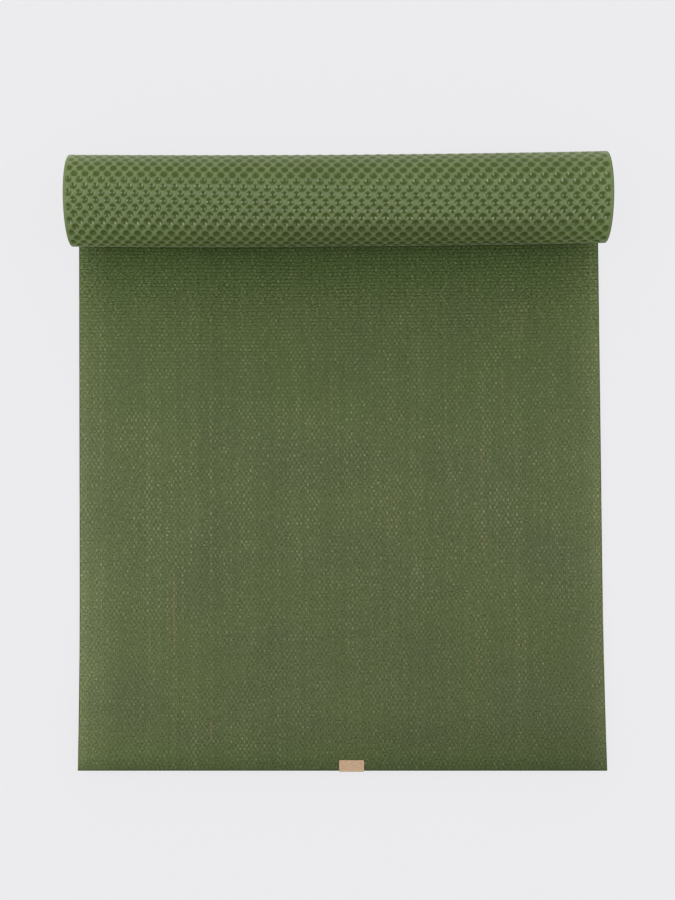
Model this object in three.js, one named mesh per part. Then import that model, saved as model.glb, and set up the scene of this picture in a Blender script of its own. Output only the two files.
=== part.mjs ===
// Jute yoga mat, lying flat on a floor with its far end rolled up over itself.
// Millimetres. +Z is up, +Y runs from the near edge to the roll, +X to the right.

import * as THREE from 'three';

// The mat as it is cut.
const matWidth = 610;
const matLength = 1730;
const matThickness = 5;

// The stretch that lies open, from the near edge to the line where the outer wrap leaves the floor.
const openLength = 653;
const liftLength = 230;
const liftHeight = 13;
const liftSteps = 10;
const nearEdgeSlant = 4.6;

// The roll, a slightly flattened oval, measured over its outer wrap. Its middle bows towards the near edge.
const rollWidth = 104;
const rollHeight = 93;
const rollBow = 2;
const wrapPitch = 5.8;
const stepsPerWrap = 36;
const stepsAcross = 4;

// The label, a bare tab folded round the near edge.
const labelWidth = 28.7;
const labelLeg = 12.1;
const labelThickness = 0.8;
const labelFromMiddle = 10.4;
const cornerSteps = 4;
const clearance = 0.3;

// The near edge curls up off the floor as a parabola: its rise falls from liftHeight to nothing over liftLength.
function liftedEnd() {
  const line = [];
  for (let i = 0; i < liftSteps; i++) {
    const left = 1 - i / liftSteps;
    line.push({
      point: new THREE.Vector2(-openLength + liftLength * (1 - left), matThickness / 2 + liftHeight * left ** 2),
      along: new THREE.Vector2(liftLength, -2 * liftHeight * left),
    });
  }
  return line;
}

// A point on the roll's spiral at a winding angle, which is 0 at the floor and a quarter turn at the back.
// The oval loses one pitch a turn, and the loss pauses at each pass of the floor, so the wraps lie flat there.
function spiralAt(angle) {
  const firstHalfWidth = (rollWidth - matThickness + wrapPitch) / 2;
  const firstHalfHeight = (rollHeight - matThickness + wrapPitch / 2) / 2;
  const lossPerRadian = wrapPitch / (2 * Math.PI);
  const loss = lossPerRadian * (angle - Math.sin(angle));
  const lossRate = lossPerRadian * (1 - Math.cos(angle));
  const halfWidth = firstHalfWidth - loss;
  const halfHeight = firstHalfHeight - loss;
  const centreHeight = firstHalfHeight + matThickness / 2;
  return {
    point: new THREE.Vector2(
      halfWidth * Math.sin(angle),
      centreHeight - halfHeight * Math.cos(angle),
    ),
    along: new THREE.Vector2(
      halfWidth * Math.cos(angle) - lossRate * Math.sin(angle),
      halfHeight * Math.sin(angle) + lossRate * Math.cos(angle),
    ),
  };
}

// The wraps go on until the length that doesn't lie open is wound up.
function wraps() {
  const line = [spiralAt(0)];
  const step = (2 * Math.PI) / stepsPerWrap;
  const woundLength = matLength - openLength;
  let wound = 0;
  for (let turn = 1; wound < woundLength; turn++) {
    const next = spiralAt(turn * step);
    wound += next.point.distanceTo(line[line.length - 1].point);
    line.push(next);
  }
  return line;
}

// The middle line of the mat in the YZ plane, from the near edge to the free end inside the roll.
function middleLine() {
  const floorStart = {
    point: new THREE.Vector2(-openLength + liftLength, matThickness / 2),
    along: new THREE.Vector2(1, 0),
  };
  return [...liftedEnd(), floorStart, ...wraps()];
}

// One face of the mat: the middle line moved out along its normal by a distance, up and inwards counting as plus.
function faceLine(line, distance) {
  return line.map(({ point, along }) => {
    const normal = new THREE.Vector2(-along.y, along.x).normalize();
    return point.clone().addScaledVector(normal, distance);
  });
}

// Carries a section drawn in (Y, Z) along X, centred on x = 0.
function extrudeAcross(section, width, steps, curveSegments) {
  const geometry = new THREE.ExtrudeGeometry(section, { depth: width, steps, curveSegments, bevelEnabled: false });
  const sectionToWorld = new THREE.Matrix4().makeBasis(
    new THREE.Vector3(0, 1, 0),
    new THREE.Vector3(0, 0, 1),
    new THREE.Vector3(1, 0, 0),
  );
  return geometry.translate(0, 0, -width / 2).applyMatrix4(sectionToWorld);
}

// The near edge is cut a little out of square: it runs further out on the right, and the slant fades over the lift.
// The roll lies in a shallow bow, a parabola across the mat, which fades over the flat stretch in front of it.
function makeUneven(geometry) {
  const place = geometry.attributes.position;
  for (let i = 0; i < place.count; i++) {
    const across = place.getX(i) / matWidth;
    const fromEdge = place.getY(i) + openLength;
    const slant = nearEdgeSlant * across * Math.max(0, 1 - fromEdge / liftLength);
    const flatShare = (fromEdge - liftLength) / (openLength - liftLength - rollWidth / 2);
    const bow = rollBow * (1 - 4 * across ** 2) * THREE.MathUtils.clamp(flatShare, 0, 1);
    place.setY(i, place.getY(i) - slant - bow);
  }
  geometry.computeVertexNormals();
  return geometry;
}

// One sheet: woven jute bonded in dyed foam, open stretch and roll in one piece.
function mat() {
  const line = middleLine();
  const underside = faceLine(line, -matThickness / 2);
  const topside = faceLine(line, matThickness / 2);
  const section = new THREE.Shape([...underside, ...topside.reverse()]);
  const geometry = makeUneven(extrudeAcross(section, matWidth, stepsAcross, 1));
  const dyedJute = new THREE.MeshStandardMaterial({ color: 0x5c6746, roughness: 0.8, metalness: 0 });
  const mesh = new THREE.Mesh(geometry, dyedJute);
  mesh.name = 'mat';
  return mesh;
}

// The label's section is a U that opens inwards, with round outer corners, in a frame at the middle of the near
// edge whose first axis runs into the mat and whose second is square to its face.
function labelSection() {
  const inner = matThickness / 2 + clearance;
  const outer = inner + labelThickness;
  const fold = labelThickness + clearance;
  const quarter = Math.PI / 2;
  const section = new THREE.Shape();
  section.moveTo(labelLeg, -outer);
  section.lineTo(labelLeg, -inner);
  section.lineTo(-clearance, -inner);
  section.lineTo(-clearance, inner);
  section.lineTo(labelLeg, inner);
  section.lineTo(labelLeg, outer);
  section.absarc(0, outer - fold, fold, quarter, 2 * quarter, false);
  section.absarc(0, fold - outer, fold, 2 * quarter, 3 * quarter, false);
  section.closePath();
  return section;
}

// The label lies on the lifted end, so it is tipped by the slope there and turned with the slanted edge.
function label() {
  const geometry = extrudeAcross(labelSection(), labelWidth, 1, cornerSteps);
  const wovenTape = new THREE.MeshStandardMaterial({ color: 0xc3a083, roughness: 0.85, metalness: 0 });
  const mesh = new THREE.Mesh(geometry, wovenTape);
  mesh.name = 'label';
  mesh.rotation.x = -Math.atan((2 * liftHeight) / liftLength);
  const place = new THREE.Group();
  const edgeSlope = nearEdgeSlant / matWidth;
  place.position.set(labelFromMiddle, -openLength - edgeSlope * labelFromMiddle, matThickness / 2 + liftHeight);
  place.rotation.z = -Math.atan(edgeSlope);
  place.add(mesh);
  return place;
}

// The origin goes to the middle of the object's outline, on the floor.
const yogaMat = new THREE.Group();
yogaMat.add(mat(), label());
const outline = new THREE.Box3().setFromObject(yogaMat);
yogaMat.position.y = -(outline.min.y + outline.max.y) / 2;

export default yogaMat;
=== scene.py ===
import math

import bpy
import numpy as np
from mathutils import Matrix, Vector


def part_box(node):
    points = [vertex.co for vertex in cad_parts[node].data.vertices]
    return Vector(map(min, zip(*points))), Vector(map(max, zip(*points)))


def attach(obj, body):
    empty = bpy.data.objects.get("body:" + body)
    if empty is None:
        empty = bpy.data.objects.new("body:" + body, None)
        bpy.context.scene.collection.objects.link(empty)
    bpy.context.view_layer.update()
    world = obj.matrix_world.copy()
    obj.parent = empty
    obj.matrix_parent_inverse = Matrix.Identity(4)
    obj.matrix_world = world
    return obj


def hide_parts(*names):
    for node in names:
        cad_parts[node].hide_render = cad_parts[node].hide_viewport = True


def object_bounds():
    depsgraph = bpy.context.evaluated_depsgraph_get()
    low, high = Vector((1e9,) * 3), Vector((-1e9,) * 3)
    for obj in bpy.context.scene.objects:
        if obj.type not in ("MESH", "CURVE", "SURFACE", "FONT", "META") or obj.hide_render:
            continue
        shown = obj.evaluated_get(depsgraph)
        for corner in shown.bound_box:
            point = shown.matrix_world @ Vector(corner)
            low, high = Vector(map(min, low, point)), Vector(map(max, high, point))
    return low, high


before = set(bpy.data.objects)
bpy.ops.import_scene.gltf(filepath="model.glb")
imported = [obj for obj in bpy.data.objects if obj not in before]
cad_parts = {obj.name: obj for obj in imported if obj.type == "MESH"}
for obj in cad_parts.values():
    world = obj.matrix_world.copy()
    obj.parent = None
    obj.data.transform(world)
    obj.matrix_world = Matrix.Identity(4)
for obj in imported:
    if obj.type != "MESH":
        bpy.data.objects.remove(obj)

cad_low, cad_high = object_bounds()
near_edge, far_edge = cad_low.y, cad_high.y


# The camera hangs above the open stretch of the mat and looks almost straight down, a hair's breadth
# turned. Its lens is a little longer than the picture is high.
camera_height = 1.4706
camera_from_near_edge = 0.3341
camera_from_middle = -0.0044
camera_lens = 50.16
camera_turn = (math.radians(1.508), math.radians(-0.05), math.radians(-0.418))

camera_data = bpy.data.cameras.new("camera")
camera_data.lens = camera_lens
camera_data.clip_end = 60.0
camera = bpy.data.objects.new("camera", camera_data)
camera.location = (camera_from_middle, near_edge + camera_from_near_edge, camera_height)
camera.rotation_mode = "ZYX"
camera.rotation_euler = camera_turn
bpy.context.scene.collection.objects.link(camera)
bpy.context.scene.camera = camera
bpy.context.scene.view_settings.view_transform = "Standard"


# The studio is a pale floor, lit from beneath so that shadows stay faint. Soft light comes from behind and in
# front, each given from overhead down to low, and evenly from both sides. A softbox on either side puts the
# glints into the grip dimples.
floor_reach = 20.0
floor_below = 0.0002
floor_paper = (0.08, 0.08, 0.08, 1.0)
floor_glow = (0.752, 0.752, 0.768, 1.0)
light_behind = (0.50, 1.34, 2.05)
light_in_front = (1.30, 0.66, 0.44)
light_beside = 0.86
light_colour = (1.0, 1.0, 1.012, 1.0)
backdrop_light = 0.84
softbox_out = 1.15
softbox_height = 1.15
softbox_before_far_edge = 0.20
softbox_size = (0.40, 0.20)
softbox_power = 52.0


class Wire:
    """A socket in a node tree. Its operators add the Math nodes that do the same sum on what it carries."""

    def __init__(self, tree, socket=None):
        self.tree = tree
        self.socket = socket

    def node(self, kind, settings, inputs, output=0):
        """Adds a node, makes its settings, then gives each input its value or the link of another wire."""
        made = self.tree.nodes.new(kind)
        for name, value in settings.items():
            setattr(made, name, value)
        for name, value in inputs.items():
            if isinstance(value, Wire):
                self.tree.links.new(value.socket, made.inputs[name])
            else:
                made.inputs[name].default_value = value
        return Wire(self.tree, made.outputs[output])

    def out(self, name):
        """Another output of the node that this wire leaves."""
        return Wire(self.tree, self.socket.node.outputs[name])

    def feed(self, shader, name):
        """Links the wire to a named input of a shader."""
        self.tree.links.new(self.socket, shader.inputs[name])

    def attribute(self, name):
        """A point attribute of the mesh."""
        return self.node("ShaderNodeAttribute", {"attribute_name": name}, {}, "Vector")

    def numbers(self):
        """The three numbers of a point."""
        first = self.node("ShaderNodeSeparateXYZ", {}, {0: self})
        return first, first.out("Y"), first.out("Z")

    def math(self, operation, *values):
        return self.node("ShaderNodeMath", {"operation": operation}, dict(enumerate(values)))

    def __add__(self, other):
        return self.math("ADD", self, other)

    def __radd__(self, other):
        return self.math("ADD", other, self)

    def __sub__(self, other):
        return self.math("SUBTRACT", self, other)

    def __rsub__(self, other):
        return self.math("SUBTRACT", other, self)

    def __mul__(self, other):
        return self.math("MULTIPLY", self, other)

    def __rmul__(self, other):
        return self.math("MULTIPLY", other, self)

    def __truediv__(self, other):
        return self.math("DIVIDE", self, other)

    def floor(self):
        return self.math("FLOOR", self)

    def part(self):
        """What is left of a number above its floor."""
        return self.math("FRACT", self)

    def power(self, exponent):
        return self.math("POWER", self, exponent)

    def cos(self):
        return self.math("COSINE", self)

    def size(self):
        return self.math("ABSOLUTE", self)

    def most(self, other):
        return self.math("MAXIMUM", self, other)

    def least(self, other):
        return self.math("MINIMUM", self, other)

    def step(self, start, end):
        """A soft step: 0 up to start, 1 from end, and a smooth curve between them."""
        return self.node(
            "ShaderNodeMapRange",
            {"interpolation_type": "SMOOTHSTEP"},
            {"Value": self, "From Min": start, "From Max": end, "To Min": 0.0, "To Max": 1.0},
        )

    def fade(self, start, end):
        """The soft step the other way: 1 up to start and 0 from end."""
        return 1.0 - self.step(start, end)

    def place(self, across, along, through=0.0):
        """A point from three numbers, for a texture to read."""
        return self.node("ShaderNodeCombineXYZ", {}, {0: across, 1: along, 2: through})

    def noise(self, point, detail=1.0):
        """Smooth noise at a point, about 0.5 and mostly from 0.25 to 0.75."""
        inputs = {"Vector": point, "Scale": 1.0, "Detail": detail, "Roughness": 0.55}
        return self.node("ShaderNodeTexNoise", {"noise_dimensions": "3D"}, inputs)

    def chance(self, point):
        """An even random number from 0 to 1 for each different point."""
        return self.node("ShaderNodeTexWhiteNoise", {"noise_dimensions": "3D"}, {"Vector": point})

    def mix(self, first, second):
        """Colours: the first where this wire is 0 and the second where it is 1."""
        return self.node("ShaderNodeMix", {"data_type": "RGBA"}, {0: self, 6: first, 7: second}, 2)

    def scaled(self, amount):
        """A colour or a point with its three numbers multiplied by one amount."""
        return self.node("ShaderNodeVectorMath", {"operation": "SCALE"}, {0: self, 3: amount})

    def raise_surface(self, shader):
        """Bumps a shader's surface by this wire's heights, in metres."""
        bump = self.node("ShaderNodeBump", {}, {"Strength": 1.0, "Distance": 1.0, "Height": self})
        bump.feed(shader, "Normal")


def paint(red, green, blue):
    """A paint chart's colour, from 0 to 255, turned into the linear light that shaders add up."""
    shares = [value / 255 for value in (red, green, blue)]
    return tuple(s / 12.92 if s < 0.04045 else ((s + 0.055) / 1.055) ** 2.4 for s in shares) + (1.0,)


floor_mesh = bpy.data.meshes.new("floor")
floor_corners = [
    (across * floor_reach, along * floor_reach, -floor_below)
    for across, along in ((-1, -1), (1, -1), (1, 1), (-1, 1))
]
floor_mesh.from_pydata(floor_corners, [], [(0, 1, 2, 3)])
floor_material = bpy.data.materials.new("floor_paper")
floor_material.use_nodes = True
floor_shader = floor_material.node_tree.nodes["Principled BSDF"]
floor_shader.inputs["Base Color"].default_value = floor_paper
floor_shader.inputs["Roughness"].default_value = 0.95
floor_shader.inputs["Specular IOR Level"].default_value = 0.1
floor_shader.inputs["Emission Color"].default_value = floor_glow
floor_shader.inputs["Emission Strength"].default_value = 1.0
floor_mesh.materials.append(floor_material)
floor = bpy.data.objects.new("floor", floor_mesh)
bpy.context.scene.collection.objects.link(floor)

world = bpy.data.worlds.new("studio")
world.use_nodes = True
bpy.context.scene.world = world
sky = Wire(world.node_tree)
direction = sky.node("ShaderNodeTexCoord", {}, {}, "Generated")
to_right, to_back, upward = direction.numbers()
overhead, low_down = upward.step(0.70, 0.82), upward.fade(0.30, 0.45)
halves = []
for top_light, middle_light, low_light in (light_behind, light_in_front):
    half = middle_light + (top_light - middle_light) * overhead
    halves.append(half + (low_light - middle_light) * low_down)
from_behind = to_back.step(-0.3, 0.3)
beside = to_right.size().step(0.45, 0.75)
dome = from_behind * halves[0] + (1.0 - from_behind) * halves[1]
dome = (1.0 - beside) * dome + beside * light_beside
seen_by_camera = sky.node("ShaderNodeLightPath", {}, {}, "Is Camera Ray")
strength = seen_by_camera * backdrop_light + (1.0 - seen_by_camera) * dome
background = world.node_tree.nodes["Background"]
background.inputs["Color"].default_value = light_colour
strength.feed(background, "Strength")

for side in (-1, 1):
    softbox_light = bpy.data.lights.new("softbox", "AREA")
    softbox_light.shape = "RECTANGLE"
    softbox_light.size, softbox_light.size_y = softbox_size
    softbox_light.energy = softbox_power
    softbox = bpy.data.objects.new("softbox", softbox_light)
    softbox_aim = Vector((0.0, far_edge - softbox_before_far_edge, cad_high.z))
    softbox.location = (side * softbox_out, softbox_aim.y, softbox_height)
    softbox.rotation_euler = (softbox_aim - softbox.location).to_track_quat("-Z", "Y").to_euler()
    softbox.visible_diffuse = False
    bpy.context.scene.collection.objects.link(softbox)


# The mat is one sheet: plain-woven jute bonded in dyed green foam, the weave on top and round grip dimples
# pressed into the underside. It lies flat, its near edge curls up a little, and its far end is rolled up
# towards the near edge with the dimples outside. It is cut all round, with no hem.
mat_width = 0.610
mat_length = 1.730
mat_thickness = 0.005
open_length = 0.653
lift_length = 0.230
lift_height = 0.013
near_edge_slant = 0.0046
roll_width = 0.104
roll_height = 0.093
roll_bow = 0.002
wrap_pitch = 0.0058
edge_round = 0.001

# The mat's own box starts at the slanted edge's right corner, half a thickness out along the lifted end's
# slope, which gives the place of the roll.
mat_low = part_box("mat")[0]
lift_slope = math.atan(2 * lift_height / lift_length)
roll_line = mat_low.y + near_edge_slant / 2 + mat_thickness / 2 * math.sin(lift_slope) + open_length


def middle_line():
    """Fine samples of the middle line, from the near edge to the free end inside the roll.

    The rise of the lifted end falls as a parabola to nothing, then the line lies flat up to the roll. The
    roll is an oval whose half width and half height shrink by wrap_pitch a turn, and the loss pauses at each
    pass of the floor. Gives the lengths along, then the places in Y and Z with the directions there, then
    the roll's winding angles and the lengths at those.
    """
    left = np.linspace(1, 0, 400)[:-1]
    lifted = np.stack([
        lift_length * (1 - left) - open_length,
        mat_thickness / 2 + lift_height * left**2,
        np.full_like(left, lift_length),
        -2 * lift_height * left,
    ])
    flat_y = np.linspace(lift_length - open_length, 0, 900)[:-1]
    flat = np.stack([
        flat_y, np.full_like(flat_y, mat_thickness / 2), np.ones_like(flat_y), np.zeros_like(flat_y)
    ])
    angle = np.linspace(0, 5.5 * math.tau, 12000)
    loss = wrap_pitch / math.tau * (angle - np.sin(angle))
    loss_rate = wrap_pitch / math.tau * (1 - np.cos(angle))
    half_width = (roll_width - mat_thickness + wrap_pitch) / 2 - loss
    first_half_height = (roll_height - mat_thickness + wrap_pitch / 2) / 2
    half_height = first_half_height - loss
    rolled = np.stack([
        half_width * np.sin(angle),
        first_half_height + mat_thickness / 2 - half_height * np.cos(angle),
        half_width * np.cos(angle) - loss_rate * np.sin(angle),
        half_height * np.sin(angle) + loss_rate * np.cos(angle),
    ])
    line = np.concatenate([lifted, flat, rolled], axis=1)
    line[2:] /= np.hypot(line[2], line[3])
    steps = np.hypot(np.diff(line[0]), np.diff(line[1]))
    length = np.concatenate([[0], np.cumsum(steps)])
    return length, line, angle, length[-len(angle):]


line_length, line, roll_angle, roll_angle_length = middle_line()


def length_at(degrees):
    """Length along the mat where the roll has turned by an angle."""
    return float(np.interp(math.radians(degrees), roll_angle, roll_angle_length))


def place_on_mat(across, along, through):
    """Points of the bent mat from points of the flat one.

    A point goes to the middle line at its length along, then square to the line by its height through the
    sheet. The near edge is cut out of square, which fades over the lift, and the roll bows towards the near
    edge as a parabola across the mat, which grows over the flat stretch in front of it.
    """
    y, z, ahead, up = (np.interp(along, line_length, values) for values in line)
    y = y - up * through
    z = z + ahead * through
    share = across / mat_width
    from_edge = y + open_length
    slant = near_edge_slant * share * np.clip(1 - from_edge / lift_length, 0, None)
    flat_share = (from_edge - lift_length) / (open_length - lift_length - roll_width / 2)
    bow = roll_bow * (1 - 4 * share**2) * np.clip(flat_share, 0, 1)
    return np.stack([across + 0 * y, y + roll_line - slant - bow, z], axis=-1)


# The grip is a staggered net of round dimples. Its columns stand wider apart to the right, and its rows on
# the roll, where the outside is stretched. Whole and half counts give the rows and columns, and the net lies
# a little turned on the sheet.
grip_pitch_across = 0.01315
grip_at_middle = 29.06
grip_widening = 8.78
grip_turn = 0.78
grip_at_crest = 0.108
grip_pitches = {
    "length": (0.0, 0.200, 0.500, 0.600, 0.653, 1.730),
    "pitch": (0.0127, 0.0127, 0.0119, 0.0117, 0.0149, 0.0149),
}
dimple_radius_across = 0.44
dimple_radius_along = 0.376
dimple_depth = 0.0030
dimple_border = (0.0015, 0.0050)

crest_length = length_at(180)
grip_pitch_along = np.interp(line_length, grip_pitches["length"], grip_pitches["pitch"])
grip_steps = np.diff(line_length) * 2 / (grip_pitch_along[1:] + grip_pitch_along[:-1])
line_count = np.concatenate([[0], np.cumsum(grip_steps)])
line_count -= np.interp(crest_length, line_length, line_count)


def count_across(across):
    """The grip's count across: even pitches, less a square term, so that they widen to the right."""
    return grip_at_middle + across / grip_pitch_across - grip_widening * across**2


def count_along(across, along):
    """The grip's count along, from the roll's crest, with the net's turn across the mat."""
    return np.interp(along, line_length, line_count) - grip_at_crest - grip_turn * across


def dimple(across, along):
    """How deep the dimples reach, from 0 on the net to 1 at a dimple's middle.

    Each is a round bowl: the square of 1 less the squared distance to its middle, in radii. One set is at
    half counts across and whole counts along, and the other the other way round. They fade out at the side
    edges.
    """
    columns, rows = count_across(across), count_along(across, along)
    distances = []
    for half_across, half_along in ((0.5, 0.0), (0.0, 0.5)):
        off_across = (columns - half_across + 0.5) % 1 - 0.5
        off_along = (rows - half_along + 0.5) % 1 - 0.5
        distances.append(np.hypot(off_across / dimple_radius_across, off_along / dimple_radius_along))
    nearest = np.clip(np.minimum(*distances), 0, 1)
    from_side = mat_width / 2 - np.abs(across)
    border = np.clip((from_side - dimple_border[0]) / (dimple_border[1] - dimple_border[0]), 0, 1)
    return (1 - nearest**2) ** 2 * border**2 * (3 - 2 * border)


def columns_at(samples):
    """Places across the underside, with so many samples a grip pitch, between the two rounded edges."""
    edge = mat_width / 2 - edge_round
    across = np.linspace(-edge, edge, 4000)
    count = count_across(across)
    whole = np.arange(math.ceil(count[0] * samples), math.floor(count[-1] * samples) + 1) / samples
    inner = np.interp(whole, count, across)
    inner = inner[np.abs(inner) < edge - 0.0006]
    return np.concatenate([[-edge], inner, [edge]])


def lengths_at(samples, start, end):
    """Lengths along between two lengths, with so many rows a grip pitch, on the grip's own rows."""
    first, last = np.interp([start, end], line_length, line_count) - grip_at_crest
    count = np.arange(math.ceil(first * samples), math.ceil(last * samples)) / samples
    return np.interp(count + grip_at_crest, line_count, line_length)


# The sheet is a stack of loops round its section. Loops with different columns are joined like a zip, so the
# dimples get many more faces than the plain stretches do. Turns are in degrees of winding, and the rows take
# up the net's own turn over turned_rows.
corner_steps = 3
corner = np.linspace(0, 90, corner_steps + 1)[1:]
end_angles = np.radians([15, 40, 65])
fine_samples, coarse_samples = 8, 4
plain_columns = np.array([-1, -0.66, -0.28, 0.28, 0.66, 1])
fine_turns = (45, 335)
last_grip_turn = 372
first_plain_turn = 380
plain_turn_step = 8.5
plain_stops_before_end = 4
turned_rows = (0.02, 0.08)


def section_loop(under, top, half_width, half_thickness, rounding):
    """One loop round a sheet's section, with its columns as shares of the width between the rounded edges.

    It runs along the underside to the right, up the right edge, back along the top and down the left edge.
    Its rows are a place across and through the sheet, the direction in which the rounding adds to it, and
    how far round the loop it is: 0 to 1 underside, 1 to 2 right edge, 2 to 3 top and 3 to 4 left edge.
    """
    edge, face = half_width - rounding, half_thickness - rounding
    right = np.radians(np.concatenate([corner - 90, [0], corner[:-1]]))
    left = right + math.pi
    rise = np.repeat([-face, face], corner_steps)
    side_round = np.arange(1, 2 * corner_steps + 1) / (2 * corner_steps + 1)
    parts = [
        [under * edge, -face + 0 * under, 0 * under, -1 + 0 * under, 0.5 + under / 2],
        [edge + 0 * right, rise, np.cos(right), np.sin(right), 1 + side_round],
        [-top * edge, face + 0 * top, 0 * top, 1 + 0 * top, 2.5 + top / 2],
        [-edge + 0 * left, -rise, np.cos(left), np.sin(left), 3 + side_round],
    ]
    return np.concatenate([np.stack(part) for part in parts], axis=1)


def zip_chains(lower, lower_at, upper, upper_at):
    """Triangles between two chains of points, and the place of each. Both chains are sorted by place.

    Every step along either chain makes one triangle, in the order of the places that the steps reach.
    """
    reach = np.concatenate([lower_at[1:], upper_at[1:]])
    leave = np.concatenate([lower_at[:-1], upper_at[:-1]])
    order = np.argsort(reach, kind="stable")
    is_lower = order < len(lower) - 1
    i = np.cumsum(is_lower) - is_lower
    j = np.cumsum(~is_lower) - ~is_lower
    ahead = np.concatenate([lower[1:], upper[1:]])[order]
    return np.stack([lower[i], upper[j], ahead], axis=1), (reach + leave)[order] / 2


def close_sheet(loops):
    """Faces of a closed sheet from its loops, each given as points across, lengthwise and through, and how
    far round they are. Both ends get a flat cap. Gives the points, the triangles and each one's side:
    0 underside, 1 edge, 2 top.
    """
    points, triangles, sides = [], [], []
    made = 0
    before = None
    for loop, round_at in loops:
        ids = made + np.arange(len(loop))
        made += len(loop)
        points.append(loop)
        chain = (np.append(ids, ids[0]), np.append(round_at, 4.0))
        if before:
            joined, place = zip_chains(*before, *chain)
            triangles.append(joined)
            sides.append(np.array([0, 1, 2, 1])[place.astype(int)])
        before = chain
    for (loop, round_at), first, outwards in ((loops[0], 0, -1), (loops[-1], made - len(loops[-1][0]), 1)):
        ids = first + np.roll(np.arange(len(loop)), corner_steps)
        across = np.roll(loop[:, 0], corner_steps)
        half = np.count_nonzero(round_at <= 1) + 2 * corner_steps
        cap, _ = zip_chains(ids[:half], across[:half], ids[half:][::-1], across[half:][::-1])
        triangles.append(cap[:, ::outwards])
        sides.append(np.ones(len(cap), int))
    return np.concatenate(points), np.concatenate(triangles), np.concatenate(sides)


def sheet_object(name, places, triangles, sides, attributes, materials):
    """A mesh object from points, triangles, a material number for each triangle, and point attributes."""
    mesh = bpy.data.meshes.new(name)
    mesh.from_pydata(places.tolist(), [], triangles.tolist())
    mesh.polygons.foreach_set("material_index", sides)
    mesh.polygons.foreach_set("use_smooth", np.ones(len(triangles), bool))
    for attribute, values in attributes.items():
        made = mesh.attributes.new(attribute, "FLOAT_VECTOR", "POINT")
        made.data.foreach_set("vector", values.astype(np.float32).ravel())
    for material in materials:
        mesh.materials.append(material)
    mesh.update()
    made_object = bpy.data.objects.new(name, mesh)
    bpy.context.scene.collection.objects.link(made_object)
    return made_object


def mat_loops():
    """Loops of the flat sheet in bands: three that round each end, then rows on the grip's own counts."""
    half_width, half_thickness = mat_width / 2, mat_thickness / 2
    edge = half_width - edge_round
    fine, coarse = (columns_at(samples) / edge for samples in (fine_samples, coarse_samples))
    fine_start, fine_end, grip_end = (length_at(turn) for turn in (*fine_turns, last_grip_turn))
    last_turn = math.degrees(np.interp(mat_length, roll_angle_length, roll_angle))
    plain_turns = np.arange(first_plain_turn, last_turn - plain_stops_before_end, plain_turn_step)
    end_along = edge_round * (1 - np.cos(end_angles))
    end_inset = edge_round * (1 - np.sin(end_angles))
    open_along = np.append(edge_round, lengths_at(coarse_samples, edge_round * 1.5, fine_start))
    no_inset = np.zeros(1)
    bands = [
        (coarse, end_along, end_inset),
        (coarse, open_along, no_inset),
        (fine, lengths_at(fine_samples, fine_start, fine_end), no_inset),
        (coarse, lengths_at(coarse_samples, fine_end, grip_end), no_inset),
        (plain_columns, np.interp(np.radians(plain_turns), roll_angle, roll_angle_length), no_inset),
        (plain_columns, mat_length - end_along[::-1], end_inset[::-1]),
    ]
    loops = []
    for under, along, inset in bands:
        loop = section_loop(under, plain_columns, half_width, half_thickness, edge_round)
        base_across, base_through, out_across, out_through, round_at = loop
        rounding = edge_round - inset[:, None]
        across = base_across + rounding * out_across + 0 * along[:, None]
        through = base_through + rounding * out_through + 0 * along[:, None]
        turned = np.clip((along - turned_rows[0]) / (turned_rows[1] - turned_rows[0]), 0, 1)
        turned = turned * (along < grip_end) * grip_turn * np.interp(along, line_length, grip_pitch_along)
        lengths = along[:, None] + turned[:, None] * across
        if len(under) > len(plain_columns):
            through = through + (round_at <= 1) * dimple_depth * dimple(across, lengths)
        loops += [(row, round_at) for row in np.stack([across, lengths, through], axis=-1)]
    return loops


# The weave is plain: lengthwise yarns go over and under thicker crosswise ones, all dyed with the foam. Each
# shows as a pale nub where it comes over and dark where it goes under, partly its own colour and partly
# painted light and shade of the raised weave. Near the roll the crosswise ribs are darkened with painted
# shade.
# Where the dye has worn off one yarn, it leaves a run of tan or reddish nubs.
yarn_pitch = 0.00257
pick_pitch = 0.0042
weave_depth = 0.0003
net_depth = 0.00012
yarn_wander = 0.7
rib_shade_grows = (0.36, 0.60)
grain_contrast, rib_grain_contrast = 2.2, 3.4
worn_strength = 0.38
yarn_green = paint(93, 104, 65)
yarn_grey = paint(91, 102, 67)
yarn_shaded = paint(82, 103, 50)
gap_green = paint(46, 58, 24)
nub_pale = paint(150, 152, 116)
nub_tan = paint(160, 146, 112)
nub_red = paint(150, 122, 92)
border_width = 0.016
worn_runs = {
    "across": (-0.010, 0.214, 0.262, 0.191, 0.147, 0.030, -0.039, 0.015, 0.054, 0.166, 0.227, -0.202,
               -0.194, -0.222, -0.223, -0.240, -0.272, -0.151, 0.156, 0.214, -0.277, 0.113, 0.300),
    "start": (0.406, 0.496, 0.558, 0.410, 0.450, 0.375, 0.312, 0.268, 0.253, 0.248, 0.273, 0.248,
              0.135, 0.332, 0.131, 0.273, 0.135, 0.033, 0.116, 0.091, 0.361, 0.509, 0.469),
    "end": (0.469, 0.542, 0.605, 0.480, 0.480, 0.410, 0.361, 0.326, 0.361, 0.390, 0.326, 0.288,
            0.228, 0.361, 0.164, 0.322, 0.170, 0.058, 0.164, 0.164, 0.400, 0.558, 0.509),
    "reddish": (0.3, 0.9, 0.2, 0.4, 0.3, 0.1, 0.2, 0.3, 0.4, 0.3, 0.5, 0.3,
                1.0, 0.4, 0.5, 0.3, 0.3, 0.9, 0.3, 0.4, 0.2, 0.3, 0.5),
}


def new_material(name, roughness, specular):
    """A material whose shader has one roughness and one specular level all over."""
    material = bpy.data.materials.new(name)
    material.use_nodes = True
    shader = material.node_tree.nodes["Principled BSDF"]
    shader.inputs["Roughness"].default_value = roughness
    shader.inputs["Specular IOR Level"].default_value = specular
    return material, shader, Wire(material.node_tree)


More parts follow.
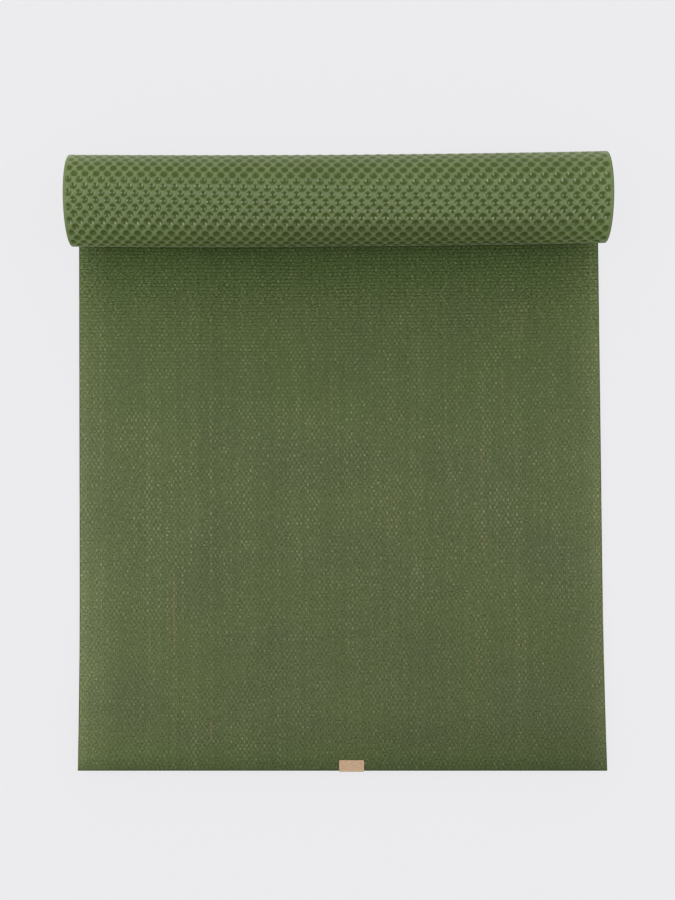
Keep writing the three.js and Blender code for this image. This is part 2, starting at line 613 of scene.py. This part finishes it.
def woven_jute():
    """The top: nubs, gaps and ribs by the yarns' counts, worn runs, painted light and shade by place, and the
    grip faintly.

    A nub is a raised cosine along its yarn times a parabola across it, and has a chance strength of its own.
    A gap is that cosine's other half, where the yarn goes under, by a chance of its own too. A rib's dark
    line is the fourth power of the place across its crosswise yarn, 0 in the middle and 1 on both sides.
    """
    material, shader, cloth = new_material("woven_jute", 0.8, 0.05)
    across, along, _ = cloth.attribute("sheet").numbers()
    columns, rows, _ = cloth.attribute("grip").numbers()

    yarns = across / yarn_pitch + yarn_wander * cloth.noise(cloth.place(across * 9, along * 14))
    picks = along / pick_pitch + 1.2 * cloth.noise(cloth.place(across * 7, along * 30, 4.0))
    yarn, pick = yarns.floor(), picks.floor()
    yarn_off, pick_off = 2 * (yarns - yarn) - 1, 2 * (picks - pick) - 1
    slub = cloth.noise(cloth.place(yarn * 3.7, along * 45), 2)
    pick_slub = cloth.noise(cloth.place(across * 45, pick * 3.7, 9.0), 2)
    yarn_over = 0.5 + 0.5 * ((picks - 0.5 + yarn) * math.pi).cos()
    pick_over = 0.5 - 0.5 * ((yarns - 0.5 + pick) * math.pi).cos()
    yarn_round = 1 - yarn_off * yarn_off
    yarn_height = yarn_round * yarn_over * (0.55 + 0.9 * slub)
    pick_height = (1 - pick_off * pick_off) * pick_over * (0.45 + 0.8 * pick_slub)

    greyness = cloth.noise(cloth.place(across * 9, along * 9, 2.0), 2).step(0.35, 0.65)
    # Painted shade: the green turns deeper and darker towards the roll and at the near edge, where shade
    # falls.
    shade_deepness = 0.45 * along.step(0.30, 0.58) + 0.55 * along.step(0.53, 0.62) + 0.4 * along.fade(0.0, 0.05)
    colour = shade_deepness.mix(greyness.mix(yarn_green, yarn_grey), yarn_shaded)
    turn = ((picks + yarn + 0.5) * 0.5).floor()
    nub_chance = cloth.chance(cloth.place(yarn, turn, 0.5))
    turn_under = ((picks + yarn - 0.5) * 0.5).floor()
    gap = (1 - yarn_over).power(3.0) * (0.02 + 0.34 * cloth.chance(cloth.place(yarn, turn_under, 7.5)))
    # Painted shade: towards the roll, where low light from behind shades the crosswise ribs, their dark lines
    # grow, the gaps and nubs fade and the grain runs crosswise.
    rib_shade = along.step(*rib_shade_grows)
    rib = (pick_off * pick_off).power(2.0) * (0.1 + 0.9 * rib_shade) * (1.7 - 2.0 * pick_slub)
    colour = (gap * (1 - 0.5 * rib_shade)).most(rib).mix(colour, gap_green)

    worn, red = None, None
    for place, start, end, reddish in zip(*worn_runs.values()):
        worn_yarn = math.floor(place / yarn_pitch + yarn_wander / 2) + 0.5
        from_middle, run_length = (along - (start + end) / 2).size(), end - start
        inside = (yarns - worn_yarn).size().fade(0.35, 0.5)
        inside = inside * from_middle.fade(run_length * 0.35, run_length * 0.55)
        worn = inside if worn is None else worn.most(inside)
        red = inside * reddish if red is None else red.most(inside * reddish)
    yarn_chance = cloth.chance(cloth.place(yarn, 0.5))
    runs = (slub + 0.3 * (yarn_chance - 0.5)).step(0.42, 0.72)
    shows = cloth.noise(cloth.place(across * 110, along * 12, 6.0), 1).step(0.35, 0.62)
    strength = (0.04 + 0.50 * nub_chance.power(2.0) + 0.16 * runs) * (0.55 + 0.8 * shows)
    strength = strength * (1 - 0.4 * rib_shade) * (1 - 0.3 * along.fade(0.12, 0.30)) + worn_strength * worn
    nub = yarn_round * yarn_over.power(4.0) * strength
    nub_colour = red.mix(worn.mix(nub_pale, nub_tan), nub_red)
    colour = (0.18 * worn * red).mix(nub.mix(colour, nub_colour), nub_red)

    tone = 0.91 + 0.18 * cloth.noise(cloth.place(across * 16, along * 16, 1.0), 3)
    tone = tone * (0.97 + 0.06 * yarn_chance)
    grain = cloth.noise(cloth.place(across * 900, along * 500, 3.0), 1)
    rib_grain = cloth.noise(cloth.place(across * 330, along * 900, 5.0), 1)
    contrast = grain_contrast + (rib_grain_contrast - grain_contrast) * rib_shade
    tone = tone * (1 + contrast * (grain + (rib_grain - grain) * rib_shade - 0.5))
    net = (columns * math.tau).cos() * (rows * math.tau).cos()
    tone = tone * (1 + 0.045 * net * along.step(0.05, 0.60))
    side, leftward = mat_width / 2 - across.size(), 0.0 - across
    border, side_cut = side.fade(0.004, border_width), side.fade(0.0004, 0.0018)
    painted_left_light = leftward.step(0.10, 0.24) * along.step(0.05, 0.15)
    near_half_shade, near_end_shade, near_strip_shade = along.fade(0.02, 0.36), along.fade(0.03, 0.08), along.fade(0.0, 0.022)
    roll_shadow = along.step(0.56, 0.61)
    painted_left_border_light = leftward.step(0.24, 0.29) * along.fade(0.20, 0.30)
    near_cut = along.fade(0.0004, 0.0020)
    # Painted light: paler side borders, where the side light falls. The cut itself is darker.
    tone = tone * (1 + 0.14 * border) * (1 - 0.35 * side_cut)
    # Painted light: paler on the left side.
    tone = tone * (1 + 0.10 * painted_left_light)
    # Painted shade: darker towards the near edge, most on the right, and darkest in the last strip.
    tone = tone * (1 - near_half_shade * (0.10 + 0.22 * across))
    tone = tone * (1 - near_end_shade * (0.08 + 0.26 * across)) * (1 - 0.22 * near_strip_shade)
    # Painted shadow of the roll: darker next to it.
    tone = tone * (1 - 0.08 * roll_shadow)
    # Painted light: the left border paler towards the near end.
    tone = tone * (1 + 0.12 * painted_left_border_light)
    # Painted light: the sides a little paler and greyer.
    colour = (0.08 * side.fade(0.004, 0.05)).mix(colour, nub_pale)
    tone = tone * (1 - 0.45 * near_cut)
    colour.scaled(tone).feed(shader, "Base Color")

    relief = yarn_height.most(pick_height) * weave_depth - net * net_depth
    relief.raise_surface(shader)
    return material


# The foam is satin smooth with a faint sheen. Pressing leaves the dimples darker, greener and glossier than
# the net, each with a soft rim, which is finer than the mesh. The back of the roll has a pale painted sheen.
foam_net = paint(109, 126, 79)
foam_dimple = paint(75, 91, 38)
foam_gloss = paint(246, 255, 226)
foam_sheen = paint(196, 194, 172)
rim_depth = 0.0001
grain_depth = 0.00003
sheen_turns = (80, 95, 110, 145)
front_shade_turns = (205, 225)


def grip_foam():
    """The underside: the dimples' discs by the grip's counts, a painted sheen, a soft mottling and a fine
    grain.

    A disc fades over the squared distance to its middle, in radii, with noise that leaves its rim uneven. The
    tone has painted light, paler towards the sides and the left end, and painted shade, darker in the middle
    of the roll's front.
    """
    material, shader, foam = new_material("grip_foam", 0.45, 0.15)
    shader.inputs["Specular Tint"].default_value = foam_gloss
    shader.inputs["Sheen Weight"].default_value = 0.3
    shader.inputs["Sheen Roughness"].default_value = 0.3
    sheet = foam.attribute("sheet")
    across, along, _ = sheet.numbers()
    columns, rows, _ = foam.attribute("grip").numbers()
    distances = []
    for half_across, half_along in ((0.5, 0.0), (0.0, 0.5)):
        off_across = (columns + (0.5 - half_across)).part() - 0.5
        off_along = (rows + (0.5 - half_along)).part() - 0.5
        off_across, off_along = off_across / dimple_radius_across, off_along / dimple_radius_along
        distances.append(off_across * off_across + off_along * off_along)
    nearest = distances[0].least(distances[1])
    side = mat_width / 2 - across.size()
    inside = side.step(*dimple_border)
    uneven = foam.noise(foam.place(across * 260, along * 260, 5.0), 1)
    disc = (nearest + 0.5 * uneven).fade(0.54, 1.04) * inside
    # Painted sheen: the back of the roll paler, where light catches it at a low angle.
    sheen_starts, sheen_full, sheen_thins, sheen_ends = (length_at(turn) for turn in sheen_turns)
    back_sheen = along.step(sheen_starts, sheen_full) * along.fade(sheen_thins, sheen_ends)
    colour = (0.12 * back_sheen).mix(disc.mix(foam_net, foam_dimple), foam_sheen)
    (0.66 - 0.28 * disc).feed(shader, "Roughness")
    mottle = foam.noise(foam.place(across * 25, along * 25), 3)
    # Painted light: paler towards the sides, the roll's ends.
    tone = (0.80 + 0.3 * mottle) * (1 + 0.10 * side.fade(0.0, 0.07))
    # Painted shade: darker in the middle of the roll's front. Painted light: paler towards the left end.
    front = along.step(*(length_at(turn) for turn in front_shade_turns))
    front = front * (across - 0.07).size().fade(0.08, 0.24)
    tone = tone * (1 - 0.16 * front) * (1 + 0.07 * (0.0 - across).step(0.12, 0.26))
    colour.scaled(tone).feed(shader, "Base Color")
    grain = foam.noise(sheet.scaled(1500.0), 2)
    (grain * grain_depth - disc * rim_depth).raise_surface(shader)
    return material


# The cut edge shows the foam, porous and dark with olive stretches, and above it the ends of the jute yarns.
edge_dark = paint(58, 70, 34)
edge_olive = paint(124, 126, 56)
yarn_end = paint(128, 122, 82)
pore_depth = 0.00025


def cut_edge():
    """The cut: porous foam, olive in places and on the roll's left end, and yarn ends in the top third."""
    material, shader, cut = new_material("cut_edge", 0.8, 0.2)
    sheet = cut.attribute("sheet")
    across, along, through = sheet.numbers()
    pores = cut.noise(sheet.scaled(900.0), 2)
    olive = cut.noise(cut.place(across * 4, along * 18), 2).step(0.50, 0.66)
    olive = olive.most(across.fade(-0.30, -0.25) * along.step(0.62, 0.68))
    colour = olive.mix(edge_dark, edge_olive)
    colour = (pores.fade(0.35, 0.5) * 0.5).mix(colour, gap_green)
    ends = (across * (math.tau / yarn_pitch)).cos() * (along * (math.tau / pick_pitch)).cos()
    ends = ends.size().step(0.25, 0.8) * through.step(0.0002, 0.0010) * through.fade(0.0018, 0.0023)
    colour = (ends * 0.7).mix(colour, yarn_end)
    colour.feed(shader, "Base Color")
    (pores * pore_depth).raise_surface(shader)
    return material


mat_points, mat_triangles, mat_sides = close_sheet(mat_loops())
mat_counts = np.stack([
    count_across(mat_points[:, 0]), count_along(mat_points[:, 0], mat_points[:, 1]), 0 * mat_points[:, 0]
], axis=-1)
mat = sheet_object(
    "rolled_mat",
    place_on_mat(*mat_points.T),
    mat_triangles,
    mat_sides,
    {"sheet": mat_points, "grip": mat_counts},
    (grip_foam(), cut_edge(), woven_jute()),
)
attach(mat, "root")
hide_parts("mat")


# The label is a short bare tape of tan cloth, folded round the near edge a little right of the middle.
label_width = 0.0287
label_leg = 0.0121
label_thickness = 0.0008
label_from_middle = 0.0104
label_clearance = 0.0003
label_round = 0.00025
label_corner = 0.0012
thread_pitches = (0.00055, 0.0007)
thread_depth = 0.00006
tape_tan = paint(203, 172, 139)
tape_pink = paint(190, 155, 125)
tape_yellow = paint(203, 177, 140)


def folded_tape(along):
    """The label's middle line in a frame that runs into the mat and square to its face.

    It comes out along the underside, turns a round corner, goes up past the edge, turns the other corner and
    runs in along the top. Gives the places and directions at lengths along it, or its whole length for None.
    """
    leg_height = mat_thickness / 2 + label_clearance + label_thickness / 2
    turn = label_thickness / 2 + label_clearance
    arc = np.linspace(0, math.pi / 2, 12)
    inwards = np.concatenate([
        [label_leg], -turn * np.sin(arc), -turn * np.cos(arc), [label_leg]
    ])
    upwards = np.concatenate([
        [-leg_height],
        turn - leg_height - turn * np.cos(arc),
        leg_height - turn + turn * np.sin(arc),
        [leg_height],
    ])
    length = np.concatenate([[0], np.cumsum(np.hypot(np.diff(inwards), np.diff(upwards)))])
    if along is None:
        return length[-1]
    place = np.stack([np.interp(along, length, values) for values in (inwards, upwards)])
    ahead = np.stack([
        np.interp(along + 2e-5, length, values) - np.interp(along - 2e-5, length, values)
        for values in (inwards, upwards)
    ])
    return place, ahead / np.hypot(*ahead)


def label_loops():
    """Loops of the flat tape, close together in the fold, and narrower where its corners are rounded."""
    tape_length = folded_tape(None)
    fold = np.linspace(label_leg - 0.0004, tape_length - label_leg + 0.0004, 40)
    leg = np.linspace(label_corner, label_leg - 0.0009, 9)
    corner_rows = label_corner * (1 - np.cos(np.radians([25, 45, 65, 90])))[:-1]
    ends = label_round * (1 - np.cos(end_angles))
    half = np.concatenate([ends, corner_rows, leg])
    along = np.concatenate([half, fold, tape_length - half[::-1]])
    inset = np.zeros(len(along))
    inset[:len(ends)] = label_round * (1 - np.sin(end_angles))
    inset[-len(ends):] = inset[:len(ends)][::-1]
    to_end = np.clip(label_corner - np.minimum(along, tape_length - along), 0, label_corner)
    narrower = label_corner - np.sqrt(label_corner**2 - to_end**2)
    columns = np.linspace(-1, 1, 15)
    loops = []
    for row, inset_here, narrow in zip(along, inset, narrower):
        loop = section_loop(columns, columns, label_width / 2 - narrow, label_thickness / 2, label_round)
        across = loop[0] + (label_round - inset_here) * loop[2]
        through = loop[1] + (label_round - inset_here) * loop[3]
        loops.append((np.stack([across, row + 0 * across, through], axis=-1), loop[4]))
    return loops


def place_on_label(across, along, through):
    """Points of the folded label: round its fold, tipped with the lifted edge and turned with its slant."""
    (inwards, upwards), (ahead, up) = folded_tape(along)
    inwards, upwards = inwards + up * through, upwards - ahead * through
    y = inwards * math.cos(lift_slope) + upwards * math.sin(lift_slope)
    z = upwards * math.cos(lift_slope) - inwards * math.sin(lift_slope)
    edge_slope = near_edge_slant / mat_width
    edge_y = roll_line - open_length - edge_slope * label_from_middle
    turn = math.atan(edge_slope)
    return np.stack([
        label_from_middle + across * math.cos(turn) + y * math.sin(turn),
        edge_y - across * math.sin(turn) + y * math.cos(turn),
        mat_thickness / 2 + lift_height + z,
    ], axis=-1)


def label_tape():
    """Fine plain tape: threads both ways, tan and pinkish mottling, a yellower line above a fold darkened
    with painted shade.
    """
    material, shader, tape = new_material("label_tape", 0.8, 0.2)
    across, along, _ = tape.attribute("sheet").numbers()
    mottle = tape.noise(tape.place(across * 420, along * 420), 2)
    colour = mottle.step(0.35, 0.65).mix(tape_pink, tape_tan)
    from_fold = along - folded_tape(None) / 2
    colour = (from_fold.step(0.0026, 0.0032) * from_fold.fade(0.0038, 0.0048)).mix(colour, tape_yellow)
    threads_across, threads_along = (math.tau / pitch for pitch in thread_pitches)
    threads = (across * threads_across).cos() * (along * threads_along).cos()
    # Painted shade: the fold round the edge is darker.
    tone = (1 + 0.06 * threads) * (1 - 0.35 * from_fold.size().fade(0.0026, 0.0032))
    colour.scaled(tone).feed(shader, "Base Color")
    (threads * thread_depth).raise_surface(shader)
    return material


label_points, label_triangles, label_sides = close_sheet(label_loops())
label = sheet_object(
    "edge_label",
    place_on_label(*label_points.T),
    label_triangles[:, ::-1],
    0 * label_sides,
    {"sheet": label_points},
    (label_tape(),),
)
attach(label, "root")
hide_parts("label")
